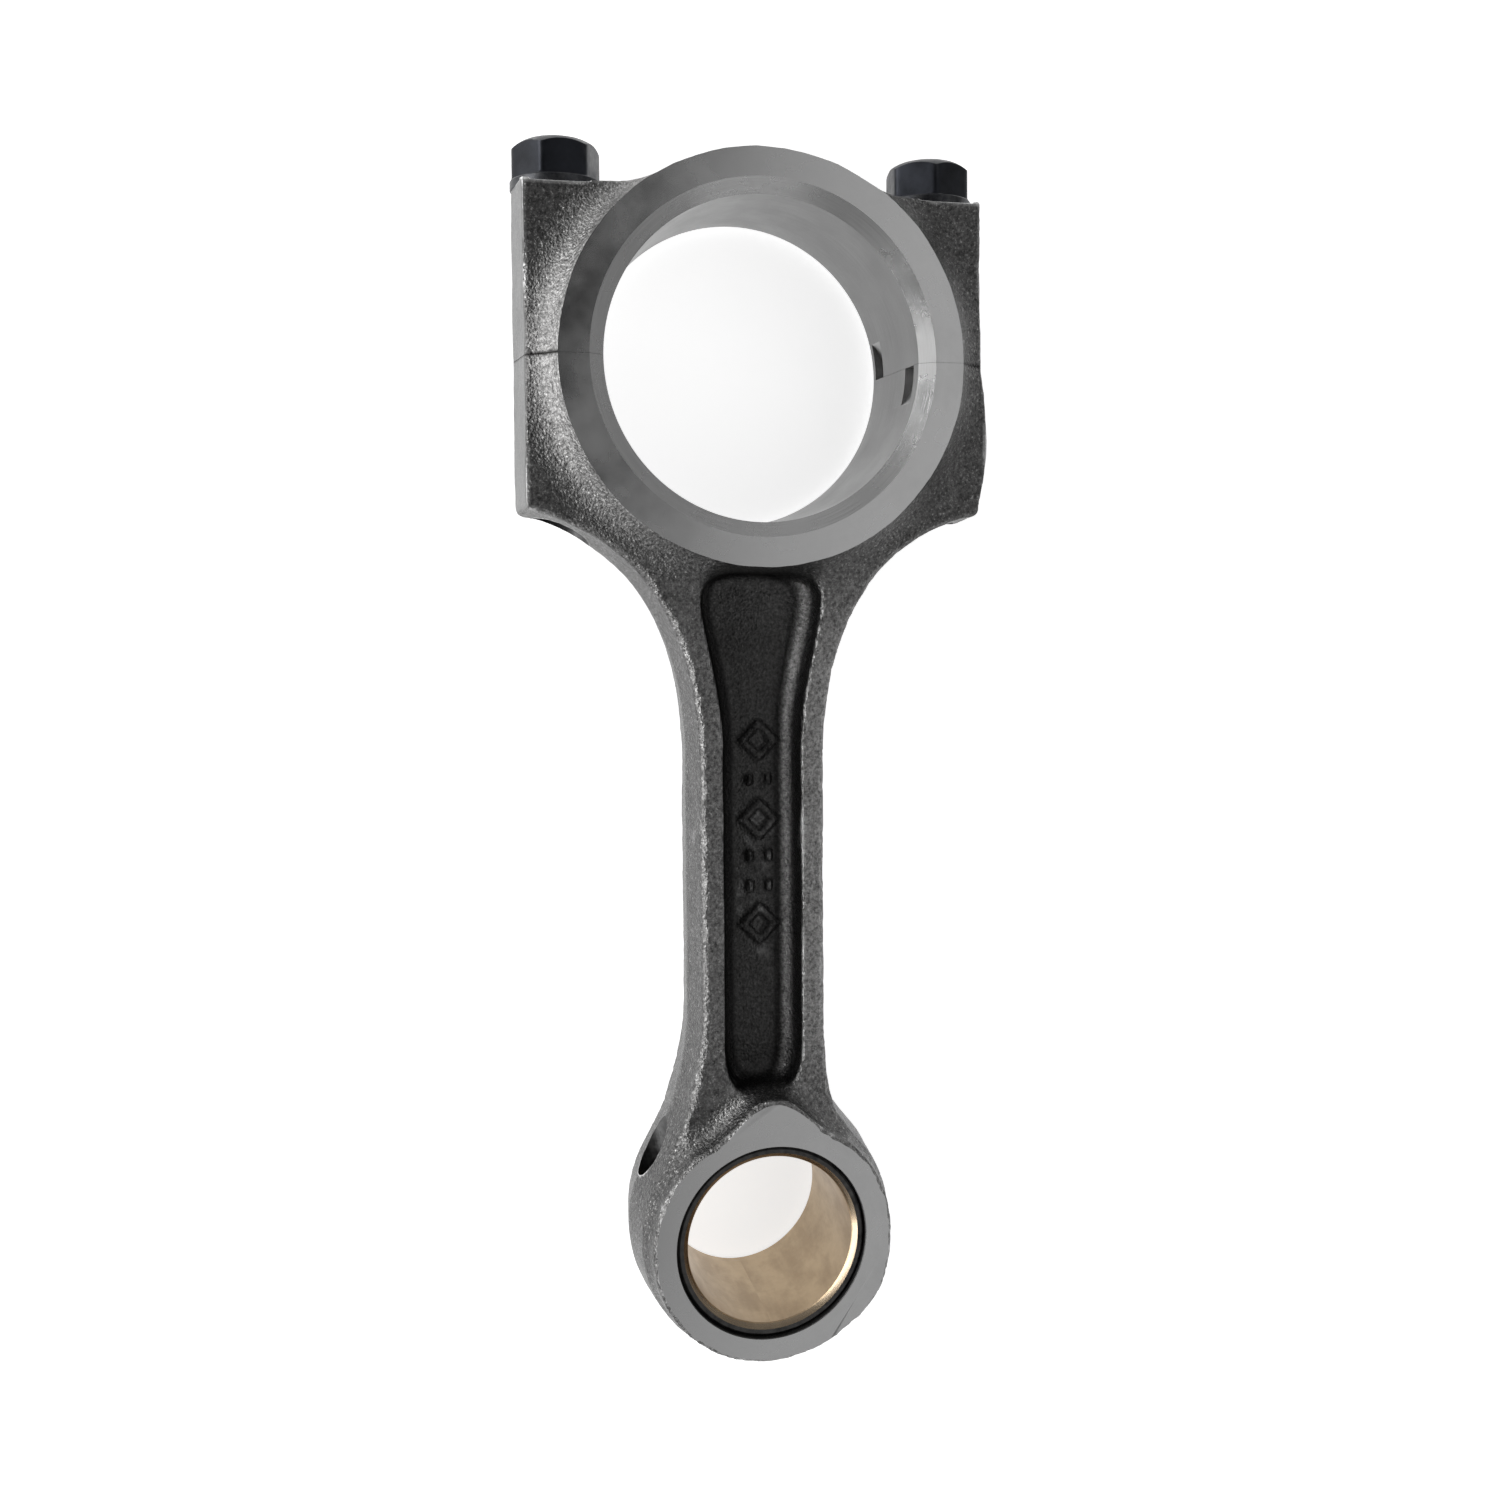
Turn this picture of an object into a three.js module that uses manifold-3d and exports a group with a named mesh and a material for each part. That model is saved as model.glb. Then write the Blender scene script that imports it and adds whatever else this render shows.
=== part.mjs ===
// Connecting rod of a small single-cylinder diesel engine, lying flat on its thrust faces.
// Millimetres, +Z up. X runs along the rod with the big end and its cap towards +X, Y runs across it,
// and the origin is under the middle of the whole rod, on the plane the thrust faces rest on.
// Five separate pieces: forged rod, bearing cap, small-end bush and two cap bolts.

import * as THREE from "three";
import { mergeVertices } from "three/addons/utils/BufferGeometryUtils.js";
import Module from "manifold-3d";

// Overall
const THICKNESS = 21; // over the machined faces of both ends
const CENTRE_DISTANCE = 113.6; // big-end axis to small-end axis
const FIT_GAP = 0.3; // left between pieces that touch on the real rod

// Forging: every outline below is given at the parting plane, half way up, and draws in by the draft
const DRAFT = THREE.MathUtils.degToRad(7);
const FLASH_LAND = 0.6; // upright band left on the parting plane where the flash was trimmed
const FLANGE_THICKNESS = 13.6; // shank flanges and bolt shoulders

// Big end
const HOUSING_RADIUS = 20.5; // bore that holds the bearing shells
const HOUSING_CHAMFER = 1.9; // measured along the radius
const HOUSING_CHAMFER_DEPTH = 1.4;
const THRUST_RADIUS = 26.25; // outer edge of the machined thrust face
const CROWN_RADIUS = 27.3; // outside of the cap at the parting plane
const HUB_FILLET = 4.2; // from the shoulders up to the thrust face
const SHOULDER_HALF_WIDTH = 30.95;
const SHOULDER_TOP = 22.4; // forged top of the cap's shoulders, above the joint face
const SHOULDER_FOOT = 19.7; // underside of the rod's shoulders, below the joint face
const SHOULDER_FOOT_CORNER = 2.6;

// Shank
const SHANK_HALF_WIDTH = 8.85;
const SHANK_TOP = 52; // where the straight stretch starts, below the big-end axis
const SHANK_BOTTOM = 84; // where it ends
const WEB_THICKNESS = 5;
const POCKET_HALF_WIDTH = 5.4;
const POCKET_HEAD_HALF_WIDTH = 8.1;
const POCKET_HEAD = 27.6; // ends of the pocket, below the big-end axis
const POCKET_TAIL = 94.6;
const POCKET_FLOOR_RADIUS = 1.7;

// Small end
const EYE_RADIUS = 17; // outside of the eye at the parting plane
const EYE_JOIN_ANGLE = THREE.MathUtils.degToRad(62); // where shank meets eye, from the rod's centre line
const EYE_NOSE = 19.7; // how far the raised nose reaches towards the shank
const EYE_BORE_RADIUS = 12.6;
const EYE_CHAMFER = 0.4;
const BUSH_BORE_RADIUS = 11;
const BUSH_CHAMFER = 0.5;
const BUSH_RECESS = 0.5; // each end of the bush sits this far below the face
const OIL_HOLE_RADIUS = 2.4;
const OIL_HOLE_ENTRY = new THREE.Vector2(8.6, 13.7); // from the small-end axis
const OIL_HOLE_DIRECTION = new THREE.Vector2(-0.954, -0.3);

// Cap bolts
const BOLT_OFFSET = 25; // bolt axis from the rod's centre line
const BOLT_SEAT = 21.4; // spot-faced seat above the joint face
const BOLT_SEAT_RADIUS = 6.9;
const BOLT_RADIUS = 3.5;
const BOLT_WAIST_RADIUS = 3.05;
const BOLT_REACH = 17.5; // how far the bolt passes below the joint face
const BOLT_HOLE_RADIUS = BOLT_RADIUS + FIT_GAP;
const WASHER_FACE_RADIUS = 5.7;
const WASHER_FACE_HEIGHT = 1.3;
const HEX_ACROSS_FLATS = 10;
const HEAD_HEIGHT = 6.3;
const HEAD_CROWN_DROP = 1.9; // how far the rounded top falls away at the corners

// Tang notches for the bearing shells: one in each half, side by side along the bore
const NOTCH_CUTTER_RADIUS = 7.3;
const NOTCH_DEPTH = 1.3;
const NOTCH_WIDTH = 3.2;
const ROD_NOTCH_HEIGHT = 5.7; // centre of the notch above the parting plane
const CAP_NOTCH_HEIGHT = -6.5;

const ARC_SEGMENTS = 8; // points along each curve of an outline
const ROUND_SEGMENTS = 48; // sides of a large round surface
const SMALL_ROUND_SEGMENTS = 20;

// The rod runs from the bottom of the eye to the top of the bolt heads.
const HEAD_TOP = BOLT_SEAT + FIT_GAP / 2 + HEAD_HEIGHT;
const BIG_END_X = (CENTRE_DISTANCE + EYE_RADIUS - HEAD_TOP) / 2;
const MID_HEIGHT = THICKNESS / 2;
const TOOL_REACH = 40; // how far a cutting tool runs past the joint face, clear of the part

const wasm = await Module();
wasm.setup();

function solidFrom(geometry) {
  const bare = geometry.clone();
  bare.deleteAttribute("normal");
  bare.deleteAttribute("uv");
  const merged = mergeVertices(bare, 1e-4);
  const mesh = new wasm.Mesh({
    numProp: 3,
    vertProperties: merged.attributes.position.array,
    triVerts: new Uint32Array(merged.index.array),
  });
  return new wasm.Manifold(mesh);
}

function geometryFrom(solid) {
  const mesh = solid.getMesh();
  const indexed = new THREE.BufferGeometry()
    .setAttribute("position", new THREE.BufferAttribute(mesh.vertProperties, 3))
    .setIndex(new THREE.BufferAttribute(mesh.triVerts, 1));
  const faceted = indexed.toNonIndexed();
  faceted.computeVertexNormals();
  return faceted;
}

function polar(radius, angle) {
  return new THREE.Vector2(radius * Math.cos(angle), radius * Math.sin(angle));
}

// A solid turned about the Z axis from (radius, height) pairs, the outside wall running upwards.
function turned(profile, segments = ROUND_SEGMENTS) {
  const points = profile.map(([radius, height]) => new THREE.Vector2(radius, height));
  return solidFrom(new THREE.LatheGeometry(points, segments).rotateX(Math.PI / 2));
}

function block(sizeX, sizeY, sizeZ, x, y, z) {
  return solidFrom(new THREE.BoxGeometry(sizeX, sizeY, sizeZ).translate(x, y, z));
}

// A forged slab, as thick as the half height says on both sides of the parting plane, with draft.
function forged(outline, halfHeight) {
  const rise = halfHeight - FLASH_LAND / 2;
  const inset = rise * Math.tan(DRAFT);
  const geometry = new THREE.ExtrudeGeometry(outline, {
    depth: FLASH_LAND,
    bevelThickness: rise,
    bevelSize: inset,
    bevelOffset: -inset,
    bevelSegments: 1,
    curveSegments: ARC_SEGMENTS,
  });
  return solidFrom(geometry.translate(0, 0, -FLASH_LAND / 2));
}

function withoutRepeats(points) {
  return points.filter((point, i) => i === 0 || point.distanceTo(points[i - 1]) > 1e-6);
}

// A closed outline from its +y half, a path that starts and ends on the x axis.
function mirroredOutline(half) {
  const upper = withoutRepeats(half.getPoints(ARC_SEGMENTS));
  const lower = upper.slice(1, -1).reverse().map((p) => new THREE.Vector2(p.x, -p.y));
  return new THREE.Shape([...upper, ...lower]);
}

// Rod and cap in one outline, with the big-end axis at the origin and the cap towards +x.
function rodOutline() {
  const crownAngle = Math.acos(SHOULDER_TOP / CROWN_RADIUS);
  const side = SHOULDER_HALF_WIDTH;
  const eyeJoin = polar(EYE_RADIUS, EYE_JOIN_ANGLE);
  const half = new THREE.Path();
  half.absarc(0, 0, CROWN_RADIUS, 0, crownAngle, false);
  half.lineTo(SHOULDER_TOP, side);
  half.lineTo(-SHOULDER_FOOT + SHOULDER_FOOT_CORNER, side);
  half.quadraticCurveTo(-SHOULDER_FOOT, side, -SHOULDER_FOOT, side - SHOULDER_FOOT_CORNER);
  half.bezierCurveTo(-23.4, 17.5, -34.5, SHANK_HALF_WIDTH, -SHANK_TOP, SHANK_HALF_WIDTH);
  half.lineTo(-SHANK_BOTTOM, SHANK_HALF_WIDTH);
  half.bezierCurveTo(-92, SHANK_HALF_WIDTH, -99, 11, eyeJoin.x - CENTRE_DISTANCE, eyeJoin.y);
  half.absarc(-CENTRE_DISTANCE, 0, EYE_RADIUS, EYE_JOIN_ANGLE, Math.PI, false);
  return mirroredOutline(half);
}

// The thick eye with its raised nose towards the shank, about the small-end axis.
function eyeOutline() {
  const half = new THREE.Path();
  half.moveTo(EYE_NOSE, 0);
  half.bezierCurveTo(EYE_NOSE, 4.6, 16.6, 5.4, 14.4, 9.2);
  half.absarc(0, 0, EYE_RADIUS, Math.atan2(9.2, 14.4), Math.PI, false);
  return mirroredOutline(half);
}

// One I-section pocket at the level of the flange face.
function pocketOutline() {
  const half = new THREE.Path();
  half.moveTo(-POCKET_HEAD, 0);
  half.bezierCurveTo(-POCKET_HEAD, 6.5, -28, POCKET_HEAD_HALF_WIDTH, -32, POCKET_HEAD_HALF_WIDTH);
  half.bezierCurveTo(-37, 7.4, -42, POCKET_HALF_WIDTH, -50, POCKET_HALF_WIDTH);
  half.lineTo(-88, POCKET_HALF_WIDTH);
  half.bezierCurveTo(-91.5, POCKET_HALF_WIDTH, -POCKET_TAIL, 3.4, -POCKET_TAIL, 0);
  return mirroredOutline(half);
}

// The ring round the housing bore: machined face, then a forged fillet down to the shoulders.
function hubProfile() {
  const top = MID_HEIGHT;
  const shoulder = FLANGE_THICKNESS / 2;
  const wallTop = top - 0.3;
  const wallRadius = THRUST_RADIUS + 0.3;
  const skirt = wallRadius + HUB_FILLET;
  const steps = 3;
  const fillet = Array.from({ length: steps + 1 }, (_, i) => {
    const angle = (i / steps) * (Math.PI / 2);
    return [skirt - HUB_FILLET * Math.sin(angle), shoulder + (wallTop - shoulder) * (1 - Math.cos(angle))];
  });
  const upper = [...fillet, [THRUST_RADIUS, top], [0, top]];
  const lower = upper.map(([radius, height]) => [radius, -height]).reverse();
  return [...lower, ...upper];
}

// A plain bore along Z with a chamfer at both faces, as the solid to take away.
function boreCutter(radius, chamfer, chamferDepth) {
  const past = 1;
  const slope = chamfer / chamferDepth;
  const mouth = MID_HEIGHT + past;
  const upper = [
    [radius, MID_HEIGHT - chamferDepth],
    [radius + chamfer + past * slope, mouth],
    [0, mouth],
  ];
  const lower = upper.map(([r, height]) => [r, -height]).reverse();
  return turned([...lower, ...upper]);
}

// A round bar along X at the bolt line, from one distance below the joint face to one above it.
function boltLineBar(radius, from, to, side, segments = SMALL_ROUND_SEGMENTS) {
  const bar = new THREE.CylinderGeometry(radius, radius, to - from, segments).rotateZ(Math.PI / 2);
  return solidFrom(bar.translate((from + to) / 2, side * BOLT_OFFSET, 0));
}

// Track of the disc cutter that mills a tang notch into the bore wall on the -y side.
function notchCutter(height) {
  const disc = new THREE.CylinderGeometry(NOTCH_CUTTER_RADIUS, NOTCH_CUTTER_RADIUS, NOTCH_WIDTH, 40);
  const centre = HOUSING_RADIUS + NOTCH_DEPTH - NOTCH_CUTTER_RADIUS;
  return solidFrom(disc.rotateX(Math.PI / 2).translate(0, -centre, height));
}

// The oil drilling enters the shoulder of the eye and runs on into its bore.
function oilDrill() {
  const reach = 14;
  const behind = 8;
  const bar = new THREE.CylinderGeometry(OIL_HOLE_RADIUS, OIL_HOLE_RADIUS, reach + behind, 20);
  bar.translate(0, (reach - behind) / 2, 0);
  bar.rotateZ(OIL_HOLE_DIRECTION.angle() - Math.PI / 2);
  return solidFrom(bar.translate(OIL_HOLE_ENTRY.x - CENTRE_DISTANCE, OIL_HOLE_ENTRY.y, 0));
}

// Spot face for one bolt head, which stops at the crown's wall.
function seatCutter(side) {
  const past = MID_HEIGHT + 1;
  const crown = turned([[0, -past], [CROWN_RADIUS, -past], [CROWN_RADIUS, past], [0, past]]);
  const bar = boltLineBar(BOLT_SEAT_RADIUS, BOLT_SEAT - FIT_GAP / 2, TOOL_REACH, side, 40);
  return bar.subtract(crown);
}

// Rod and cap as one machined forging, before they are parted.
function makeForging() {
  const outline = rodOutline();
  const eye = forged(eyeOutline(), MID_HEIGHT).translate(-CENTRE_DISTANCE, 0, 0);
  let forging = turned(hubProfile()).intersect(forged(outline, MID_HEIGHT));
  forging = forging.add(forged(outline, FLANGE_THICKNESS / 2)).subtract(pocketCutter(1));
  forging = forging.subtract(pocketCutter(-1)).add(eye);
  forging = forging.subtract(boreCutter(HOUSING_RADIUS, HOUSING_CHAMFER, HOUSING_CHAMFER_DEPTH));
  const eyeBore = boreCutter(EYE_BORE_RADIUS, EYE_CHAMFER, EYE_CHAMFER);
  forging = forging.subtract(eyeBore.translate(-CENTRE_DISTANCE, 0, 0)).subtract(oilDrill());
  for (const side of [-1, 1]) {
    const hole = boltLineBar(BOLT_HOLE_RADIUS, -TOOL_REACH, TOOL_REACH, side);
    forging = forging.subtract(hole).subtract(seatCutter(side));
  }
  return forging;
}

// One pocket, cut from the upper (side 1) or lower (side -1) flange faces down to the web.
function pocketCutter(side) {
  const past = 4;
  const wall = FLANGE_THICKNESS / 2 - WEB_THICKNESS / 2 - POCKET_FLOOR_RADIUS;
  const geometry = new THREE.ExtrudeGeometry(pocketOutline(), {
    depth: wall + past,
    bevelThickness: POCKET_FLOOR_RADIUS,
    bevelSize: POCKET_FLOOR_RADIUS,
    bevelOffset: -POCKET_FLOOR_RADIUS,
    bevelSegments: 2,
    curveSegments: ARC_SEGMENTS,
  });
  geometry.translate(0, 0, WEB_THICKNESS / 2 + POCKET_FLOOR_RADIUS);
  if (side < 0) geometry.rotateX(Math.PI);
  return solidFrom(geometry);
}

// All that lies beyond the joint face: side 1 is the cap's, side -1 the rod's.
function jointSide(side) {
  const size = 200;
  return block(size, size, size, (side * (size + FIT_GAP)) / 2, 0, 0);
}

function makeRodBody(forging) {
  return forging.intersect(jointSide(-1)).subtract(notchCutter(ROD_NOTCH_HEIGHT));
}

function makeBearingCap(forging) {
  return forging.intersect(jointSide(1)).subtract(notchCutter(CAP_NOTCH_HEIGHT));
}

// Steel-backed bush, a fit gap smaller than the eye's bore, with the oil drilling carried through.
function makeBush() {
  const half = MID_HEIGHT - BUSH_RECESS;
  const outer = EYE_BORE_RADIUS - FIT_GAP;
  const chamfer = BUSH_CHAMFER;
  const upper = [
    [outer, half - chamfer],
    [outer - chamfer, half],
    [BUSH_BORE_RADIUS + chamfer / 2, half],
    [BUSH_BORE_RADIUS, half - chamfer],
  ];
  const lower = upper.map(([radius, height]) => [radius, -height]).reverse();
  const ring = turned([...lower, ...upper, lower[0]]);
  return ring.translate(-CENTRE_DISTANCE, 0, 0).subtract(oilDrill());
}

// Bolt standing on its axis: shank down, seat of the head at height 0.
function boltProfile() {
  const length = BOLT_SEAT + BOLT_REACH;
  const waistTop = -BOLT_SEAT + 5;
  const waistBottom = waistTop - 9;
  return [
    [0, -length],
    [BOLT_RADIUS - 0.7, -length],
    [BOLT_RADIUS, -length + 0.7],
    [BOLT_RADIUS, waistBottom],
    [BOLT_WAIST_RADIUS, waistBottom + 0.8],
    [BOLT_WAIST_RADIUS, waistTop - 0.8],
    [BOLT_RADIUS, waistTop],
    [BOLT_RADIUS, 0],
    [WASHER_FACE_RADIUS, 0],
    [WASHER_FACE_RADIUS, WASHER_FACE_HEIGHT],
    [0, WASHER_FACE_HEIGHT],
  ];
}

// Hexagon head with a domed top, the dome's edge falling away at the corners.
function makeHead() {
  const corner = HEX_ACROSS_FLATS / Math.sqrt(3);
  const hexHeight = HEAD_HEIGHT - WASHER_FACE_HEIGHT / 2;
  const hex = new THREE.CylinderGeometry(corner, corner, hexHeight, 6).rotateX(Math.PI / 2);
  hex.translate(0, 0, HEAD_HEIGHT - hexHeight / 2);
  const flatTop = 2.4;
  const steps = 4;
  const dome = Array.from({ length: steps + 1 }, (_, i) => {
    const t = 1 - i / steps;
    const radius = flatTop + (corner + 0.05 - flatTop) * t;
    return [radius, HEAD_HEIGHT - HEAD_CROWN_DROP * t ** 2.4];
  });
  return solidFrom(hex).intersect(turned([[0, 0], [corner + 0.05, 0], ...dome, [0, HEAD_HEIGHT]], 24));
}

function makeBolt() {
  return turned(boltProfile(), SMALL_ROUND_SEGMENTS).add(makeHead());
}

function mesh(name, solid, material) {
  const piece = new THREE.Mesh(geometryFrom(solid), material);
  piece.name = name;
  return piece;
}

// The bolt mesh turned to point its head along +X, on one side of the rod.
function placedBolt(name, side, turn) {
  const piece = mesh(name, makeBolt(), blackenedSteel);
  piece.rotation.set(0, Math.PI / 2, turn);
  piece.position.set(BOLT_SEAT + FIT_GAP / 2, side * BOLT_OFFSET, 0);
  return piece;
}

const forgedSteel = new THREE.MeshStandardMaterial({ color: 0x6a6a68, roughness: 0.55, metalness: 0.9 });
const bronze = new THREE.MeshStandardMaterial({ color: 0xa08a66, roughness: 0.35, metalness: 0.9 });
const blackenedSteel = new THREE.MeshStandardMaterial({ color: 0x1c1d20, roughness: 0.4, metalness: 0.7 });

const rod = new THREE.Group();
rod.position.set(BIG_END_X, 0, MID_HEIGHT);
const forging = makeForging();
rod.add(mesh("rod_body", makeRodBody(forging), forgedSteel));
rod.add(mesh("bearing_cap", makeBearingCap(forging), forgedSteel));
rod.add(mesh("small_end_bush", makeBush(), bronze));
rod.add(placedBolt("cap_bolt_left", 1, THREE.MathUtils.degToRad(5)));
rod.add(placedBolt("cap_bolt_right", -1, THREE.MathUtils.degToRad(23)));

export default rod;
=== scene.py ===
"""Looks of a small diesel engine's connecting rod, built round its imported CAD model.

Shapes are worked out in millimetres in the forging's own frame: u along the rod from the big-end axis
(towards the cap), v across it and w up from the parting plane at mid thickness. place() takes them to
the row frame, in metres.
"""

import itertools
import math

import bmesh
import bpy
import numpy as np
from mathutils import Matrix, Quaternion, Vector, noise


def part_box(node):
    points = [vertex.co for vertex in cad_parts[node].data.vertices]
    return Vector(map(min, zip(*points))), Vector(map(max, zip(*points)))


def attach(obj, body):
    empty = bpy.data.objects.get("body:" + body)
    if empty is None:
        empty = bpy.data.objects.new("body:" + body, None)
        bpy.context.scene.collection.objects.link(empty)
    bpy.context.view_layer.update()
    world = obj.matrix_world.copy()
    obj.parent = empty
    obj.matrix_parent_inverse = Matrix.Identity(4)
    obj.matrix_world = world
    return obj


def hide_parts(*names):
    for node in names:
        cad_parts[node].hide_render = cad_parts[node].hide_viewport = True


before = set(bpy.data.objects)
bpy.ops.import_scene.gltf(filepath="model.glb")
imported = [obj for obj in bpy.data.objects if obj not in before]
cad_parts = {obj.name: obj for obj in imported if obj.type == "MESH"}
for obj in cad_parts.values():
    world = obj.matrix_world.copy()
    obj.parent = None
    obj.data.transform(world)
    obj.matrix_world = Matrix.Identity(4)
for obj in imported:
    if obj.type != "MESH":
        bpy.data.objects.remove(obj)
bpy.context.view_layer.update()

MM = 0.001
rod_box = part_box("rod_body")
cap_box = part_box("bearing_cap")
bush_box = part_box("small_end_bush")
left_bolt_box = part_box("cap_bolt_left")

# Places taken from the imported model
BIG_END = Vector(((rod_box[1].x + cap_box[0].x) / 2, 0, (rod_box[0].z + rod_box[1].z) / 2))
HALF_THICKNESS = (rod_box[1].z - rod_box[0].z) / 2 / MM
SMALL_END = ((bush_box[0].x + bush_box[1].x) / 2 - BIG_END.x) / MM
SMALL_END_BOTTOM = (rod_box[0].x - BIG_END.x) / MM
SHOULDER_SIDE = rod_box[1].y / MM - 0.2
BOLT_OFFSET = (left_bolt_box[0].y + left_bolt_box[1].y) / 2 / MM
HEAD_TOP = (left_bolt_box[1].x - BIG_END.x) / MM
BOLT_END = (left_bolt_box[0].x - BIG_END.x) / MM

# Forging, in heights above the parting plane
DRAFT = math.tan(math.radians(7))
FLASH_LAND = 0.3  # half height of the upright band at the parting plane
FLANGE = 6.8
WEB = 2.5  # the pocket's floor
ALLOWANCE = 0.5  # forged height above the faces before they are machined
SKIN_WAVES = ((7.0, 0.10), (2.6, 0.05), (0.9, 0.03))  # lengths and depths of the skin's unevenness
SHARP_EDGE = 0.25  # radius left on an unworn edge
WORN_EDGE = 0.55  # bevel worn on the flange edges

# Big end and its shoulders, as forged
CROWN_RADIUS = 27.3
CROWN_FILLET = 3.0  # from the shoulders' tops into the crown
THRUST_RADIUS = 26.2
HUB_FILLET = 6.2
SHOULDER_TOP = 22.4

# Shank and its pocket
SHANK_SIDE = 8.93
SHANK_TOP = 52.0
SHANK_BOTTOM = 84.0
POCKET_SIDE = 5.3
POCKET_HEAD_SIDE = 8.1
POCKET_HEAD = 25.0
POCKET_TAIL = 96.0
POCKET_DRAFT = 1.5 * DRAFT
POCKET_RIM = 0.4
POCKET_FILLET = 1.9

# Small-end eye, as forged
EYE_RADIUS = 16.8
EYE_SHIFT = -0.28  # the forged eye sits a little off its bore
EYE_UPPER_DRAFT = 0.093
EYE_LOWER_DRAFT = 0.158
EYE_FILLET = 2.6
EYE_BUMP = 0.55  # a swelling on the eye's right side
EYE_BUMP_ANGLE = math.radians(120)
EYE_BUMP_SPREAD = 0.24
NOSE_REACH = 19.6
NOSE_END = (13.06, 10.37)  # where the nose runs into the eye's arc, from the bore's axis
NOSE_LEAN = -0.25
LEFT_NECK = ((-91.5, 8.95), (-97.5, 11.1))  # controls of the curve from the shank into the eye
RIGHT_NECK = ((-93, 8.9), (-99.5, 9.9))

# Raised forging marks
MARK_LINE = -0.4  # they stand on a line a little to one side of the centre
MARK_STROKE = 0.42
MARK_HEIGHT = 0.6
LOZENGE_SIZE = 2.2
LOZENGES = (-49.0, -59.5, -73.5)
DOT_PAIRS = (-54.2, -64.4, -68.4)

# Machining
HOUSING_RADIUS = 20.5
HOUSING_CHAMFER = 1.9
HOUSING_CHAMFER_DEPTH = 1.4
EYE_BORE = 12.6
EYE_BORE_CHAMFER = 0.1
BOLT_SEAT = 21.4
BOLT_SEAT_RADIUS = 7.8
BOLT_HOLE = 3.65
JOINT_GAP = 0.03
NOTCH_CUTTER_RADIUS = 7.3
NOTCH_DEPTH = 1.3
NOTCH_WIDTH = 3.3
ROD_NOTCH_HEIGHT = 5.7
CAP_NOTCH_HEIGHT = -6.5
OIL_HOLE_RADIUS = 2.4
OIL_HOLE_COUNTERSINK = 0.9
OIL_HOLE_ENTRY = (8.6, 13.7)  # from the eye bore's axis
OIL_HOLE_DIRECTION = Vector((-0.954, -0.3, 0)).normalized()

# Bush
BUSH_RADIUS = EYE_BORE - 0.05
LINING_RADIUS = 11.0

# Cap bolts
HEX_APOTHEM = 5.0
HEX_ROUNDNESS = 34  # the higher, the sharper the corners of the hexagon
WASHER_RADIUS = 5.85
WASHER_HEIGHT = 1.3
CROWN_DROP = 1.4  # from the head's flat top to its corners
CROWN_FLAT = 3.0
BOLT_RADIUS = 3.5
THREAD_PITCH = 1.0
THREAD_DEPTH = 0.6
THREAD_LENGTH = 13.0
WAIST_RADIUS = 3.05
BOLT_SEGMENTS = 144

PITCH = 0.4  # cell size of the forging's mesh


# ---------------------------------------------------------------- outlines


def bezier(*controls, steps=20):
    """Points along a quadratic or cubic curve, its start left out."""
    t = np.linspace(0, 1, steps + 1)[1:, None]
    points = np.array(controls, float)
    degree = len(points) - 1
    return sum(math.comb(degree, i) * t**i * (1 - t) ** (degree - i) * p for i, p in enumerate(points))


def arc(centre, radius, start, end, steps=36):
    angles = np.linspace(start, end, steps + 1)
    return np.stack([centre + radius * np.cos(angles), radius * np.sin(angles)], 1)


def joined(upper, lower):
    """A closed outline from two half outlines that both run from the +u end to the -u end at v > 0."""
    flipped = lower[::-1] * (1, -1)
    return np.concatenate([upper, flipped])


def eye_arc(radius, start, bump, steps=60):
    """The eye's outline from an angle off the shank's direction round to its far end."""
    angles = np.linspace(start, math.pi, steps + 1)[:, None]
    swelling = bump * np.exp(-(((angles - EYE_BUMP_ANGLE) / EYE_BUMP_SPREAD) ** 2))
    return (radius + swelling) * np.hstack([np.cos(angles), np.sin(angles)]) + (SMALL_END, 0)


def rod_half(foot, corner, bulge, neck, join, shift, bump):
    """One side of the forging at the parting plane, from the crown's top to the eye's far end.

    foot is how far the shoulder runs below the joint face, corner the size of its rounded corner and
    bulge how far its flank swells. neck and join shape the run into the eye, shift moves the eye
    sideways and bump is the height of its swelling.
    """
    side = SHOULDER_SIDE
    top = SHOULDER_TOP
    touch = math.sqrt(CROWN_RADIUS**2 - top**2)
    crown = arc(0, CROWN_RADIUS, 0, math.asin((touch - 1.6) / CROWN_RADIUS))
    root = bezier(crown[-1], (top, touch + 0.2), (top, touch + CROWN_FILLET))
    shoulder = [(top, side), (-0.5, side)]
    flank = bezier((-0.5, side), (-6, side + bulge), (-13, side + bulge), (corner - foot, side), steps=12)
    heel = bezier((corner - foot, side), (-foot, side), (-foot, side - corner))
    flare = bezier((-foot, side - corner), (-23.3, 16.75), (-33.3, SHANK_SIDE), (-SHANK_TOP, SHANK_SIDE))
    shank = [(-SHANK_BOTTOM, SHANK_SIDE)]
    eye = eye_arc(EYE_RADIUS - 0.3, join, bump) + (0, shift)
    waist = bezier((-SHANK_BOTTOM, SHANK_SIDE), *neck, eye[0])
    return np.concatenate([crown, root, shoulder, flank, heel, flare, shank, waist, eye[1:]])


def eye_half(shift, lean, bump):
    """One side of the eye with its nose, which leans to a side."""
    nose_u, nose_v = NOSE_END
    nose = bezier((NOSE_REACH, 0), (NOSE_REACH, 4.3), (15.6, 4.9), NOSE_END)
    nose[:, 1] += lean * (1 - nose[:, 1] / nose_v)
    round_part = eye_arc(EYE_RADIUS, math.atan2(nose_v, nose_u), bump)
    return np.concatenate([nose + (SMALL_END, 0), round_part]) + (0, shift)


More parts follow.
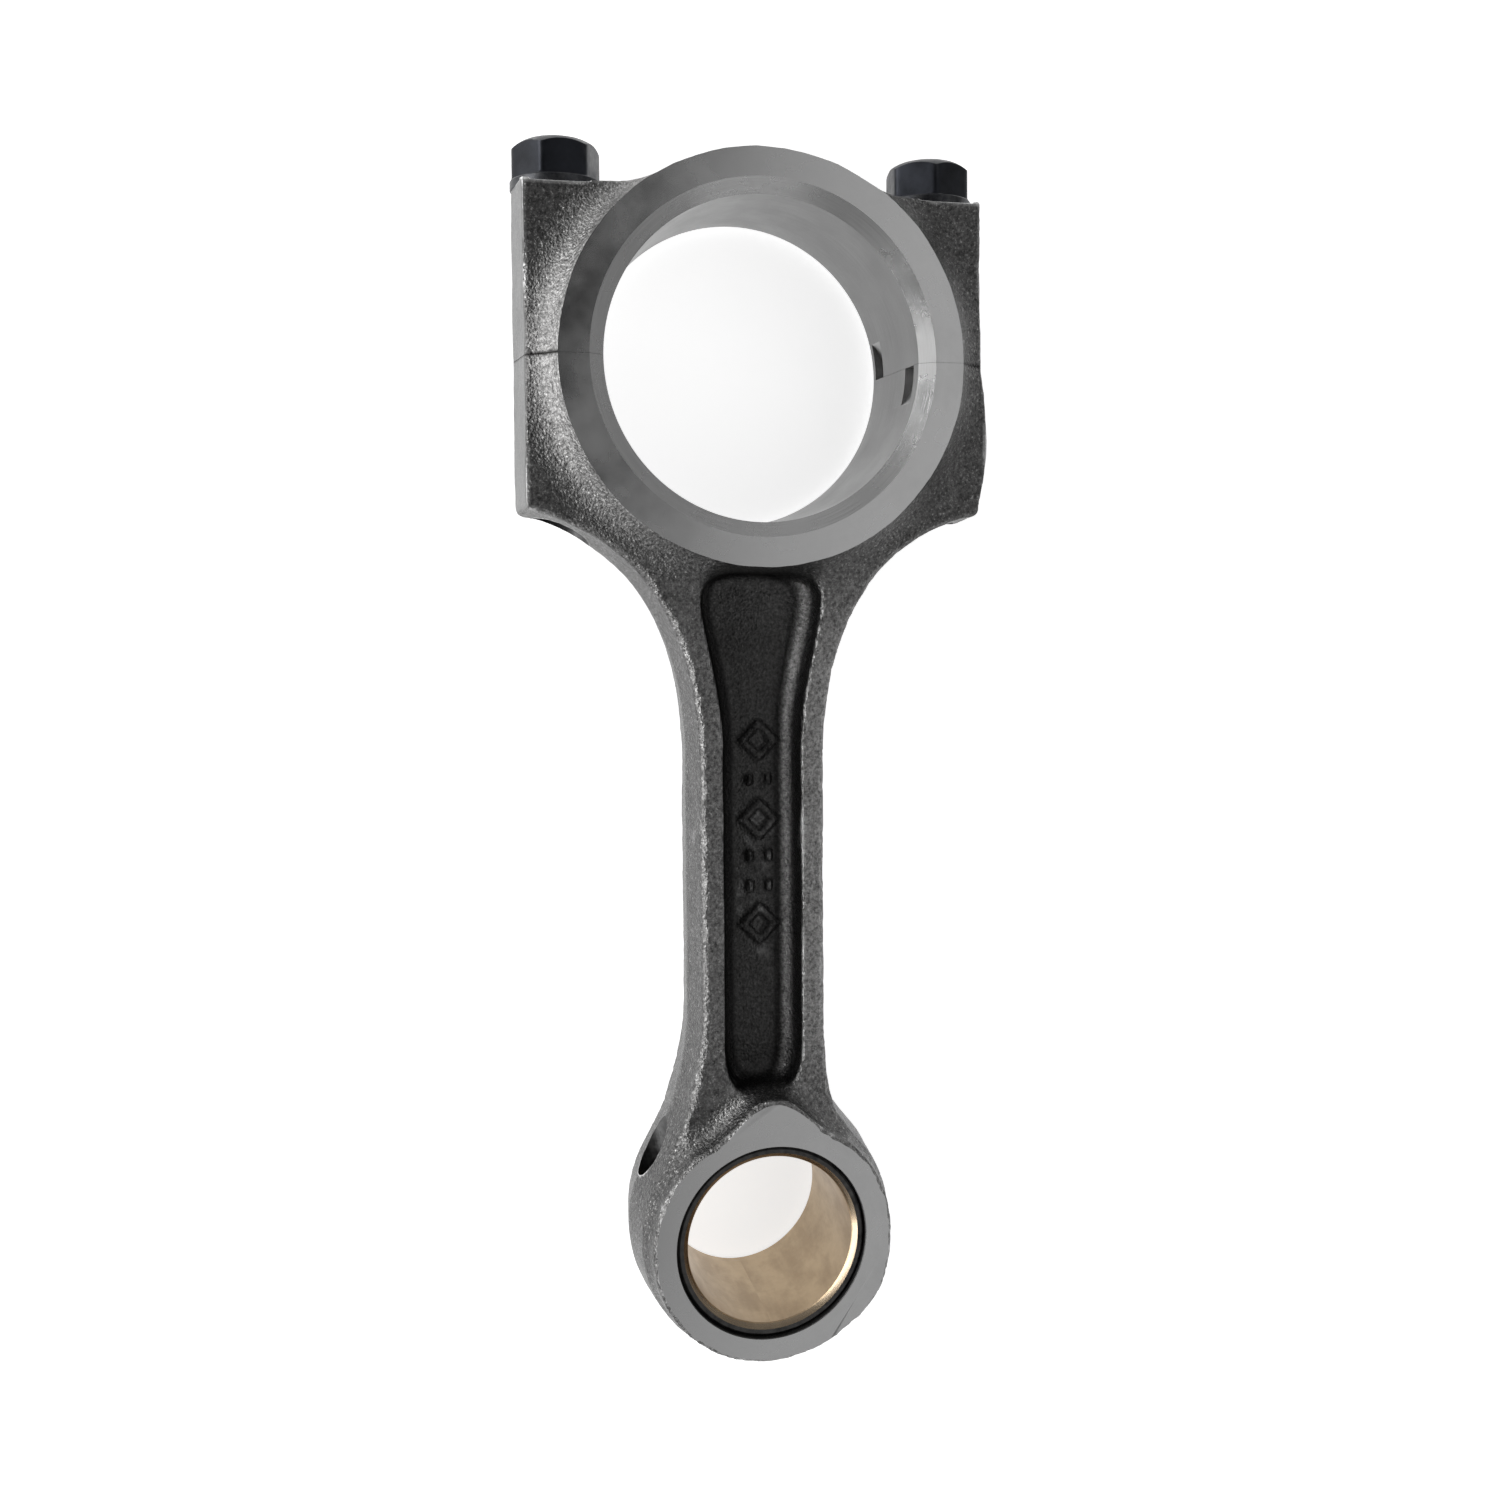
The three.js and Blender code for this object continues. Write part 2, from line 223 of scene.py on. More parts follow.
def pocket_half():
    """One side of the pocket: a wide head, a waist and a rounded tail."""
    wide, narrow = POCKET_HEAD_SIDE, POCKET_SIDE
    head = bezier((-POCKET_HEAD, 0), (-POCKET_HEAD, 5.6), (-26.4, wide), (-31, wide))
    waist = bezier((-31, wide), (-36, 7.6), (-42, narrow), (-50, narrow))
    tail = bezier((-88, narrow), (-93, narrow), (-POCKET_TAIL, 4.2), (-POCKET_TAIL, 0))
    return np.concatenate([head, waist, [(-88, narrow)], tail])


def outline_distance(outline, u, v):
    """Distance in the plane from each (u, v) to a closed outline, negative inside it."""
    nearest = np.full(u.shape, 1e9)
    inside = np.zeros(u.shape, bool)
    for a, b in zip(outline, np.roll(outline, -1, axis=0)):
        du, dv = b - a
        length = du * du + dv * dv
        if length < 1e-12:
            continue
        t = np.clip(((u - a[0]) * du + (v - a[1]) * dv) / length, 0, 1)
        nearest = np.minimum(nearest, (u - a[0] - t * du) ** 2 + (v - a[1] - t * dv) ** 2)
        if dv != 0:
            crosses = (a[1] > v) != (b[1] > v)
            inside ^= crosses & (u < a[0] + du * (v - a[1]) / dv)
    return np.where(inside, -1, 1) * np.sqrt(nearest)


ROD_OUTLINE = joined(
    rod_half(19.7, 1.6, 0.0, LEFT_NECK, math.radians(58), EYE_SHIFT, 0.0),
    rod_half(20.5, 2.4, 1.35, RIGHT_NECK, math.radians(50), -EYE_SHIFT, EYE_BUMP),
)
EYE_OUTLINE = joined(eye_half(EYE_SHIFT, NOSE_LEAN, 0.0), eye_half(-EYE_SHIFT, -NOSE_LEAN, EYE_BUMP))
POCKET_OUTLINE = joined(pocket_half(), pocket_half())


# ---------------------------------------------------------------- the forging as a field of distances


def share_of(value, low, high):
    """A value's place between two limits, from 0 to 1."""
    return np.clip((value - low) / (high - low), 0, 1)


def fillet_union(a, b, radius):
    """Union of two solids with a round fillet where they meet."""
    corner = np.hypot(np.maximum(radius - a, 0), np.maximum(radius - b, 0))
    return np.maximum(radius, np.minimum(a, b)) - corner


def round_intersection(a, b, radius):
    """What two solids share, with its edge rounded."""
    corner = np.hypot(np.maximum(radius + a, 0), np.maximum(radius + b, 0))
    return np.minimum(-radius, np.maximum(a, b)) + corner


def worn_intersection(a, b, wear):
    """What two solids share, with its edge worn to a bevel."""
    return np.maximum(round_intersection(a, b, SHARP_EDGE), (a + b + wear) / math.sqrt(2))


def dash_distance(u, v, centre, half):
    """Distance in the plane to a short dash that runs along the rod."""
    return np.hypot(np.maximum(np.abs(u - centre[0]) - half, 0), v - centre[1])


def lozenge_distance(u, v, centre, half):
    """Distance in the plane to the line of a lozenge."""
    return np.abs(np.abs(u - centre[0]) + np.abs(v - centre[1]) - half) / math.sqrt(2)


def mark_distance(u, v):
    """Distance to plain raised forging marks, lozenges and pairs of dots, which spell nothing."""
    nearest = np.full(np.broadcast(u, v).shape, 1e3)
    for along in LOZENGES:
        nearest = np.minimum(nearest, lozenge_distance(u, v, (along, MARK_LINE), LOZENGE_SIZE))
    for along in DOT_PAIRS:
        for side in (-1, 1):
            nearest = np.minimum(nearest, dash_distance(u, v, (along, MARK_LINE + 1.3 * side), 0.35))
    return nearest


def plan(u, v):
    """Distances to the outlines, which don't depend on height."""
    return {
        "rod": outline_distance(ROD_OUTLINE, u, v),
        "eye": outline_distance(EYE_OUTLINE, u, v),
        "pocket": outline_distance(POCKET_OUTLINE, u, v),
        "marks": mark_distance(u, v),
    }


def faces_field(u, v, w, flat):
    """The flange faces with the pocket sunk in them, its right side sloping more gently."""
    height = np.abs(w)
    wall = flat["pocket"] - (height - FLANGE) * POCKET_DRAFT
    mark = MARK_HEIGHT * np.clip(1.6 - flat["marks"] / MARK_STROKE, 0, 1) * (w > 0)
    slack = share_of(-v, 0, 4) * (0.8 + 0.7 * share_of(u, -46, -34))
    pocket = round_intersection(wall, WEB + mark - height, POCKET_FILLET + slack)
    return round_intersection(height - FLANGE, -pocket, POCKET_RIM)


def hub_field(u, v, height, root):
    """The raised ring round the housing bore, narrowed so that its fillet ends on the ring's edge."""
    step = HALF_THICKNESS - FLANGE
    cut_short = root - np.sqrt(root**2 - np.maximum(root - step, 0) ** 2)
    wall = np.hypot(u, v) - THRUST_RADIUS + cut_short - (HALF_THICKNESS - height) * DRAFT
    return np.maximum(wall, height - HALF_THICKNESS - ALLOWANCE)


def edge_wear(u):
    """Width of the worn bevel along the rod: uneven on the shank, little on the big end."""
    waves = 0.25 * np.sin(1.3 * u) * np.sin(0.37 * u) + 0.2 * np.sin(3.1 * u + 3 * np.sin(u))
    return WORN_EDGE * (1 + waves) * (1 - 0.65 * share_of(u, -24, -18))


def forging_field(u, v, w, flat):
    """Signed distance, near enough, to the skin of the whole forging. flat is plan(u, v)."""
    height = np.abs(w)
    above_land = np.maximum(height - FLASH_LAND, 0)
    wear = edge_wear(u)

    root = HUB_FILLET * (1 - 0.7 * share_of(-flat["pocket"], -1, 2))
    face = fillet_union(faces_field(u, v, w, flat), hub_field(u, v, height, root), root)
    shank = worn_intersection(flat["rod"] + above_land * DRAFT, face, wear)

    eye_draft = np.where(w > 0, EYE_UPPER_DRAFT, EYE_LOWER_DRAFT)
    eye_wall = flat["eye"] + above_land * eye_draft
    eye_top = height - HALF_THICKNESS - ALLOWANCE
    eye = worn_intersection(eye_wall, eye_top, ALLOWANCE + 0.7 * wear)
    return fillet_union(shank, eye, EYE_FILLET)


# ---------------------------------------------------------------- meshing


def grid_axis(low, high, margin):
    """Grid lines from below one limit to above another."""
    return np.arange(low - margin, high + margin + PITCH, PITCH)


def edge_crossings(field, axis):
    """Where the skin crosses the grid lines along one axis: a mask and the share of the way along."""
    first = np.take(field, range(field.shape[axis] - 1), axis)
    second = np.take(field, range(1, field.shape[axis]), axis)
    crossing = (first < 0) != (second < 0)
    share = np.where(crossing, first / np.where(crossing, first - second, 1), 0)
    return crossing, share, first < 0


def surface_net(field):
    """Vertices in cell units and quads, one vertex for each grid cell that the skin passes through."""
    cells = tuple(n - 1 for n in field.shape)
    count = np.zeros(cells, np.int8)
    total = [np.zeros(cells, np.float32) for _ in range(3)]
    crossings = [edge_crossings(field, axis) for axis in range(3)]
    for axis, (crossing, share, _) in enumerate(crossings):
        others = [a for a in range(3) if a != axis]
        for shift in ((0, 0), (0, 1), (1, 0), (1, 1)):
            part = [slice(None)] * 3
            for other, step in zip(others, shift):
                part[other] = slice(step, step + cells[other])
            near = crossing[tuple(part)]
            count += near
            total[axis] += share[tuple(part)]
            for other, step in zip(others, shift):
                if step:
                    total[other] += near
    used = count > 0
    where = np.argwhere(used)
    vertices = where + np.stack([t[used] / count[used] for t in total], 1)
    index = np.full(cells, -1, np.int64)
    index[used] = np.arange(len(where))

    quads = []
    for axis, (crossing, _, inside) in enumerate(crossings):
        b, c = (axis + 1) % 3, (axis + 2) % 3
        at = np.argwhere(crossing)
        at = at[(at[:, b] > 0) & (at[:, c] > 0) & (at[:, b] < cells[b]) & (at[:, c] < cells[c])]
        round_edge = []
        for step_b, step_c in ((0, 0), (1, 0), (1, 1), (0, 1)):
            cell = at.copy()
            cell[:, b] -= step_b
            cell[:, c] -= step_c
            round_edge.append(index[tuple(cell.T)])
        quad = np.stack(round_edge, 1)
        outward = inside[tuple(at.T)]
        quads.append(np.where(outward[:, None], quad, quad[:, ::-1]))
    return vertices, np.concatenate(quads)


def sampled(grid, places):
    """A grid's values at fractional places, between its eight nearest nodes."""
    low = np.clip(places.astype(int), 0, np.array(grid.shape) - 2)
    part = places - low
    value = 0
    for corner in np.ndindex(2, 2, 2):
        weight = np.prod(np.where(corner, part, 1 - part), axis=1)
        value = value + weight * grid[tuple((low + corner).T)]
    return value


def forging_mesh():
    """Vertices in millimetres and quads of the raw forging, with its skin's unevenness."""
    us = grid_axis(SMALL_END_BOTTOM, CROWN_RADIUS, 1.5)
    vs = grid_axis(-SHOULDER_SIDE, SHOULDER_SIDE, 2.5)
    ws = grid_axis(-HALF_THICKNESS, HALF_THICKNESS, 1.5)
    u, v = np.meshgrid(us, vs, indexing="ij")
    flat = {name: d[:, :, None] for name, d in plan(u, v).items()}
    field = forging_field(u[:, :, None], v[:, :, None], ws[None, None, :], flat).astype(np.float32)
    cells, quads = surface_net(field)
    slopes = np.gradient(field)
    normals = np.stack([sampled(slope, cells) for slope in slopes], 1)
    normals /= np.maximum(np.linalg.norm(normals, axis=1, keepdims=True), 1e-9)
    points = np.array([us[0], vs[0], ws[0]]) + cells * PITCH
    for _ in range(2):
        distance = forging_field(*points.T, plan(*points.T[:2]))
        points -= np.clip(distance, -PITCH / 2, PITCH / 2)[:, None] * normals
    points += normals * skin_unevenness(points)[:, None]
    return points, quads


def skin_unevenness(points):
    """How far the forged skin stands off its nominal shape, in millimetres."""
    uneven = np.empty(len(points))
    for i, point in enumerate(points):
        p = Vector(point)
        uneven[i] = sum(noise.noise(p / length) * depth for length, depth in SKIN_WAVES)
    return uneven


# ---------------------------------------------------------------- pieces as Blender objects


def place(point):
    """A point of the forging's frame, in millimetres, as a place in the row frame, in metres."""
    return BIG_END + Vector(point) * MM


def new_piece(name, points, faces, materials):
    """A mesh object from points in the forging's frame."""
    mesh = bpy.data.meshes.new(name)
    world = np.array(BIG_END) + np.asarray(points, float) * MM
    corners = [[int(corner) for corner in face] for face in faces]
    mesh.from_pydata(world.tolist(), [], corners)
    for material in materials:
        mesh.materials.append(material)
    mesh.update()
    piece = bpy.data.objects.new(name, mesh)
    bpy.context.scene.collection.objects.link(piece)
    return piece


def band_faces(row, next_row, count):
    """Quads between two rings of a loft."""
    a, b = row * count, next_row * count
    steps = [(i, (i + 1) % count) for i in range(count)]
    return [(a + i, b + i, b + j, a + j) for i, j in steps]


def lofted(name, rings, material, slots=None):
    """A closed skin through rings of equal point counts, its first and last ring closed by a fan."""
    count = len(rings[0])
    points = [point for ring in rings for point in ring]
    faces = []
    for row in range(len(rings) - 1):
        faces += band_faces(row, row + 1, count)
    for row, flip in ((0, False), (len(rings) - 1, True)):
        centre = len(points)
        points.append(np.mean(rings[row], axis=0))
        a = row * count
        for i in range(count):
            j = (i + 1) % count
            faces.append((a + j, a + i, centre) if flip else (a + i, a + j, centre))
    materials = material if isinstance(material, list) else [material]
    piece = new_piece(name, points, faces, materials)
    outwards(piece)
    if slots:
        for face in piece.data.polygons:
            row = face.index // count
            face.material_index = slots[row] if row < len(slots) else 0
    return piece


def closed_loft(name, rings, materials, slots):
    """A skin through rings whose last ring joins the first, as on a hollow turned part."""
    count = len(rings[0])
    points = [point for ring in rings for point in ring]
    faces = []
    for row in range(len(rings)):
        faces += band_faces(row, (row + 1) % len(rings), count)
    piece = new_piece(name, points, faces, materials)
    for face in piece.data.polygons:
        face.material_index = slots[face.index // count]
    outwards(piece)
    return piece


def outwards(piece):
    """Turns every face of a piece to look outwards."""
    bm = bmesh.new()
    bm.from_mesh(piece.data)
    bmesh.ops.recalc_face_normals(bm, faces=bm.faces)
    bm.to_mesh(piece.data)
    bm.free()


def axis_frame(origin, direction):
    """Origin, two cross axes and the axis itself, for shapes turned about that axis."""
    axis = Vector(direction).normalized()
    across = axis.orthogonal().normalized() if abs(axis.z) < 0.9 else Vector((1, 0, 0))
    return Vector(origin), across, axis.cross(across), axis


def turned_rings(profile, origin, direction, segments):
    """One ring of points for each (radius, along) pair of a profile."""
    centre, across, up, axis = axis_frame(origin, direction)
    rings = []
    for radius, along in profile:
        ring = []
        for i in range(segments):
            angle = 2 * math.pi * i / segments
            spoke = across * math.cos(angle) + up * math.sin(angle)
            ring.append(centre + axis * along + spoke * radius)
        rings.append(ring)
    return rings


def turned(name, profile, material, origin=(0, 0, 0), direction=(0, 0, 1), segments=256, slots=None):
    """A solid of (radius, along) pairs turned about an axis, from one end of it to the other."""
    rings = turned_rings(profile, origin, direction, segments)
    return lofted(name, rings, material, slots)


def block(name, low, high, material):
    """A plain box between two corners, used as a cutter."""
    corners = list(itertools.product(*zip(low, high)))
    faces = [(0, 1, 3, 2), (4, 6, 7, 5), (0, 4, 5, 1), (2, 3, 7, 6), (0, 2, 6, 4), (1, 5, 7, 3)]
    return new_piece(name, corners, faces, [material])


def combine(piece, tool, operation, keep_tool=False):
    """Cuts, joins or trims a piece by a tool, whose faces keep their own materials."""
    boolean = piece.modifiers.new("cut", "BOOLEAN")
    boolean.object = tool
    boolean.operation = operation
    boolean.solver = "MANIFOLD"
    boolean.material_mode = "TRANSFER"
    graph = bpy.context.evaluated_depsgraph_get()
    made = bpy.data.meshes.new_from_object(piece.evaluated_get(graph), depsgraph=graph)
    piece.modifiers.clear()
    old = piece.data
    piece.data = made
    made.name = piece.name
    bpy.data.meshes.remove(old)
    if not keep_tool:
        bpy.data.objects.remove(tool)


def cut(piece, tool, keep_tool=False):
    combine(piece, tool, "DIFFERENCE", keep_tool)


def smooth(piece, angle=32):
    """Smooth shading that breaks at the sharp edges."""
    piece.data.shade_smooth()
    piece.data.set_sharp_from_angle(angle=math.radians(angle))


def finish_piece(piece, node):
    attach(piece, "root")
    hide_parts(node)


# ---------------------------------------------------------------- machining


def read_skin(piece):
    """A piece's vertices in the forging's frame and their normals."""
    count = len(piece.data.vertices)
    points, normals = np.empty(count * 3), np.empty(count * 3)
    piece.data.vertices.foreach_get("co", points)
    piece.data.vertex_normals.foreach_get("vector", normals)
    return (points.reshape(-1, 3) - np.array(BIG_END)) / MM, normals.reshape(-1, 3)


def depth_at(points):
    """How far points lie outside the forging's skin."""
    return forging_field(*points.T, plan(*points.T[:2]))


def pocket_marks(u, v, height):
    """Painted shade inside the pocket, kept lighter on its right slope and near its head as painted
    highlight, and painted shade with some dark scale along its creases and walls.
    """
    depth = -outline_distance(POCKET_OUTLINE, u, v)
    right = share_of(-v, 0, 4)
    # painted highlight: the right slope and the head of the pocket are kept lighter
    slope = np.clip(1 - np.abs(depth - 1.4) / 0.7, 0, 1) * right
    pocket_shade_share = (1 - 0.6 * slope) * (1 - 0.3 * share_of(u, -36, -29))
    inside = share_of(depth, -0.3, 0.8) * share_of(FLANGE - height, 0.2, 1.5)
    # painted shade, over some dark scale, along the pocket's crease and steep walls
    crease = np.clip(1 - np.abs(depth - 1.85 - 0.8 * right) / 0.7, 0, 1) * (height < 4.0)
    wall = share_of(0.9 - depth, 0, 0.25) * share_of(6.6 - height, 0, 0.5)
    return inside * pocket_shade_share, np.maximum(crease, wall) * (depth > -0.3)


def mark_skin(piece):
    """Keeps numbers on each vertex for the materials: how hollow, ridged, worn and grimy the skin is,
    where its joint runs, and where shade or light is painted on it: in hollows, the pocket and its
    creases, on upright walls, along worn edges, on the flange tops and on the fillet's left side.
    """
    points, normals = read_skin(piece)
    u, v, w = points.T
    height = np.abs(w)
    steepness = np.abs(normals[:, 2])
    seam = share_of(-np.abs(u), -0.3, -0.1)
    reach, thin = 1.2, 0.7
    openness = depth_at(points + normals * reach)
    solidity = -depth_at(points - normals * thin)
    # painted highlight: the hub fillet is lighter on the left side, which faces the side softbox
    left = share_of(v, -8, 10) * (0.2 + 0.8 * share_of(u, -22, -4))
    # painted light: the flange tops are lighter on the right side and less so towards the eye's neck
    lean = (0.72 - 0.28 * np.clip(v / 3, -1, 1)) * (1 - 0.65 * share_of(-u, 87, 97))
    pocket, crease_scale_and_shade = pocket_marks(u, v, height)
    marks = {
        # painted shade in hollows, over some dark scale gathered there
        "hollow": share_of(reach - openness, 0.1, 0.9),
        "seam": seam,
        # convex edges: bare worn metal, drawn brighter as a painted highlight
        "ridge_wear_and_highlight": share_of(thin - solidity, 0.05, 0.25) * (1 - seam),
        "lit_fillet_highlight": share_of(29.4 - np.hypot(u, v), 0, 2.0) * share_of(height, 6.9, 7.5) * left,
        # painted shade in the pocket, over darker scale
        "pocket": pocket,
        # painted shade: upright walls are drawn darker than the tops
        "upright": 1 - share_of(steepness, 0.3, 0.7),
        "crease_scale_and_shade": crease_scale_and_shade,
        # handling wear on the flange tops, with painted light that leans to the right side
        "handled_and_lit": share_of(-u, 24, 38) * share_of(steepness, 0.5, 0.8) * lean,
        "rubbed": share_of(np.abs(v), 29.0, 29.9) * share_of(np.abs(normals[:, 1]), 0.8, 0.95),
    }
    for name, values in marks.items():
        attribute = piece.data.attributes.new(name, "FLOAT", "POINT")
        attribute.data.foreach_set("value", values.astype(np.float32))


def bore_cutter(name, radius, chamfer, depth, origin, materials):
    """Cutter for a bore with a chamfer at both faces. materials holds the bore's and the chamfer's."""
    past = 1.0
    mouth = HALF_THICKNESS + past
    wide = radius + chamfer + past * chamfer / depth
    level = HALF_THICKNESS - depth
    profile = [(wide, -mouth), (radius, -level), (radius, level), (wide, mouth)]
    return turned(name, profile, materials, origin, slots=[1, 0, 1])


def bar_cutter(name, radius, origin, direction, length, material, segments=96):
    return turned(name, [(radius, 0), (radius, length)], material, origin, direction, segments)


def notch_cutter(name, height, material):
    """Disc cutter that mills a tang notch into the bore wall on the -v side."""
    centre = HOUSING_RADIUS + NOTCH_DEPTH - NOTCH_CUTTER_RADIUS
    origin = (0, -centre, height - NOTCH_WIDTH / 2)
    return bar_cutter(name, NOTCH_CUTTER_RADIUS, origin, (0, 0, 1), NOTCH_WIDTH, material, 160)


def oil_drill(name, material):
    """Drill for the oil hole, with a countersink that widens towards its mouth."""
    behind, reach = 8, 14
    entry = Vector((SMALL_END + OIL_HOLE_ENTRY[0], OIL_HOLE_ENTRY[1], 0))
    mouth = OIL_HOLE_RADIUS + OIL_HOLE_COUNTERSINK
    profile = [(mouth, -behind), (mouth, -3), (OIL_HOLE_RADIUS, 2.5), (OIL_HOLE_RADIUS, reach)]
    return turned(name, profile, material, entry, OIL_HOLE_DIRECTION, 64)


def machine_forging(forging, looks):
    """Cuts faces, bores, chamfers, bolt seats and holes into the raw forging."""
    wide, top = 150, 20
    for side in (-1, 1):
        near, far = sorted((side * HALF_THICKNESS, side * top))
        cut(forging, block("face_mill", (-wide, -40, near), (40, 40, far), looks["ground"]))
    housing_looks = [looks["honed"], looks["chamfer"]]
    chamfer = (HOUSING_CHAMFER, HOUSING_CHAMFER_DEPTH)
    cut(forging, bore_cutter("housing_bore", HOUSING_RADIUS, *chamfer, (0, 0, 0), housing_looks))
    eye_looks = [looks["honed"], looks["drilled"]]
    chamfer = (EYE_BORE_CHAMFER, EYE_BORE_CHAMFER)
    cut(forging, bore_cutter("eye_bore", EYE_BORE, *chamfer, (SMALL_END, 0, 0), eye_looks))
    cut(forging, oil_drill("oil_hole", looks["drilled"]))
    for side in (-1, 1):
        seat_start = (BOLT_SEAT, side * BOLT_OFFSET, 0)
        seat = bar_cutter("seat_mill", BOLT_SEAT_RADIUS, seat_start, (1, 0, 0), 12, looks["milled"])
        spared = CROWN_RADIUS - 0.4
        cut(seat, turned("crown", [(spared, -14), (spared, 14)], looks["milled"]))
        cut(forging, seat)
        hole_start = (-40, side * BOLT_OFFSET, 0)
        cut(forging, bar_cutter("bolt_drill", BOLT_HOLE, hole_start, (1, 0, 0), 80, looks["drilled"]))
    return forging


def part_forging(forging, looks):
    """Rod and cap, parted at the joint face."""
    gap = JOINT_GAP / 2
    pieces = []
    for name, low, high, notch in (
        ("rod_skin", -150, -gap, ROD_NOTCH_HEIGHT),
        ("cap_skin", gap, 40, CAP_NOTCH_HEIGHT),
    ):
        piece = bpy.data.objects.new(name, forging.data.copy())
        bpy.context.scene.collection.objects.link(piece)
        combine(piece, block("saw", (low, -45, -20), (high, 45, 20), looks["ground"]), "INTERSECT")
        cut(piece, notch_cutter("notch_mill", notch, looks["milled"]))
        smooth(piece)
        mark_skin(piece)
        pieces.append(piece)
    bpy.data.objects.remove(forging)
    return pieces


# ---------------------------------------------------------------- bush


def make_bush(looks):
    """Steel-backed bush with a bronze lining, its ends set below the eye's faces."""
    half = (bush_box[1].z - bush_box[0].z) / 2 / MM
    steel, bronze_edge, lining = 0, 1, 2
    upper = [
        (BUSH_RADIUS, 0),
        (BUSH_RADIUS, half - 0.7),
        (BUSH_RADIUS - 0.1, half - 0.3),
        (BUSH_RADIUS - 0.4, half),
        (LINING_RADIUS + 0.65, half - 0.05),
        (LINING_RADIUS + 0.1, half - 0.55),
        (LINING_RADIUS, half - 0.7),
        (LINING_RADIUS, 0),
    ]
    slots = [steel, steel, steel, steel, bronze_edge, lining, lining]
    lower = [(radius, -along) for radius, along in upper[::-1]][1:-1]
    rings = turned_rings(upper + lower, (SMALL_END, 0, 0), (0, 0, 1), 200)
    materials = [looks["backing"], looks["bronze_edge"], looks["bronze"]]
    bush = closed_loft("bush_liner", rings, materials, slots + slots[::-1])
    cut(bush, oil_drill("bush_oil_hole", looks["drilled"]))
    smooth(bush, 24)
    return bush


# ---------------------------------------------------------------- cap bolts


def hex_radius(angle):
    """Distance from the axis to the side of a hexagon with slightly rounded corners."""
    facing = [max(math.cos(angle - side * math.pi / 3), 0) for side in range(6)]
    total = sum(share**HEX_ROUNDNESS for share in facing)
    return HEX_APOTHEM * total ** (-1 / HEX_ROUNDNESS)


def head_top(radius, height):
    """Height of the domed top of the head at a distance from the axis."""
    corner = HEX_APOTHEM / math.cos(math.pi / 6)
    share = max(radius - CROWN_FLAT, 0) / (corner - CROWN_FLAT)
    return height - CROWN_DROP * share**1.9


def thread_depth(along, angle):
    """How deep the thread's groove is at a place on the bolt."""
    turn = (along / THREAD_PITCH - angle / (2 * math.pi)) % 1
    return THREAD_DEPTH * min(max(abs(turn - 0.5) * 2.3 - 0.12, 0), 1)


def head_rings(height, angles):
    """Rings of the hexagon head, from its top down to its washer face."""
    hexagon = [hex_radius(angle) for angle in angles]
    rings = []
    for share in (0.1, 0.25, 0.4, 0.5, 0.6, 0.7, 0.8, 0.88, 0.94, 0.975):
        rings.append([(r * share, head_top(r * share, height)) for r in hexagon])
    rings.append([(r * 0.995, head_top(r, height) + 0.02) for r in hexagon])
    rings.append([(r, head_top(r, height) - 0.14) for r in hexagon])
    rings.append([(r, WASHER_HEIGHT + 0.35) for r in hexagon])
    rings.append([(r + 0.04, WASHER_HEIGHT + 0.12) for r in hexagon])
    rings.append([(min(r + 0.18, WASHER_RADIUS - 0.1), WASHER_HEIGHT) for r in hexagon])
    return rings


def round_rings(reach):
    """Rings of the washer face, the shank and its waist, which are round."""
    profile = [
        (WASHER_RADIUS - 0.08, WASHER_HEIGHT - 0.02),
        (WASHER_RADIUS, WASHER_HEIGHT - 0.14),
        (WASHER_RADIUS, 0.16),
        (WASHER_RADIUS - 0.14, 0.02),
        (BOLT_RADIUS + 0.5, 0.02),
        (BOLT_RADIUS + 0.15, -0.1),
        (BOLT_RADIUS, -0.5),
        (BOLT_RADIUS, -14),
        (WAIST_RADIUS, -14.8),
        (WAIST_RADIUS, THREAD_LENGTH - reach + 1.2),
    ]
    return [[place_on_bolt] * BOLT_SEGMENTS for place_on_bolt in profile]


def thread_rings(reach, angles):
    """Rings of the thread and of the bolt's chamfered end."""
    rings = []
    steps = round(THREAD_LENGTH * 8)
    for step in range(steps + 1):
        along = THREAD_LENGTH - reach - step * (THREAD_LENGTH - 0.6) / steps
        fade = min(step / 12, 1)
        crest = WAIST_RADIUS + (BOLT_RADIUS - WAIST_RADIUS) * fade
        rings.append([(crest - fade * thread_depth(along, angle), along) for angle in angles])
    for radius, along in ((BOLT_RADIUS - 0.75, 0.25), (BOLT_RADIUS - 1.0, 0), (0.8, 0)):
        rings.append([(radius, along - reach)] * BOLT_SEGMENTS)
    return rings


def make_bolt(name, side, turn, looks):
    """Cap bolt with its head towards +u, turned about its own axis by some degrees."""
    height = HEAD_TOP - BOLT_SEAT
    reach = BOLT_SEAT - BOLT_END
    angles = [2 * math.pi * i / BOLT_SEGMENTS for i in range(BOLT_SEGMENTS)]
    rings = []
    for ring in head_rings(height, angles) + round_rings(reach) + thread_rings(reach, angles):
        points = []
        for (radius, along), angle in zip(ring, angles):
            turned_angle = angle + math.radians(turn)
            across = radius * math.cos(turned_angle)
            up = radius * math.sin(turned_angle)
            points.append((BOLT_SEAT + along, side * BOLT_OFFSET + across, up))
        rings.append(points)
    bolt = lofted(name, rings, looks["oxide"])
    smooth(bolt, 28)
    return bolt


# ---------------------------------------------------------------- materials


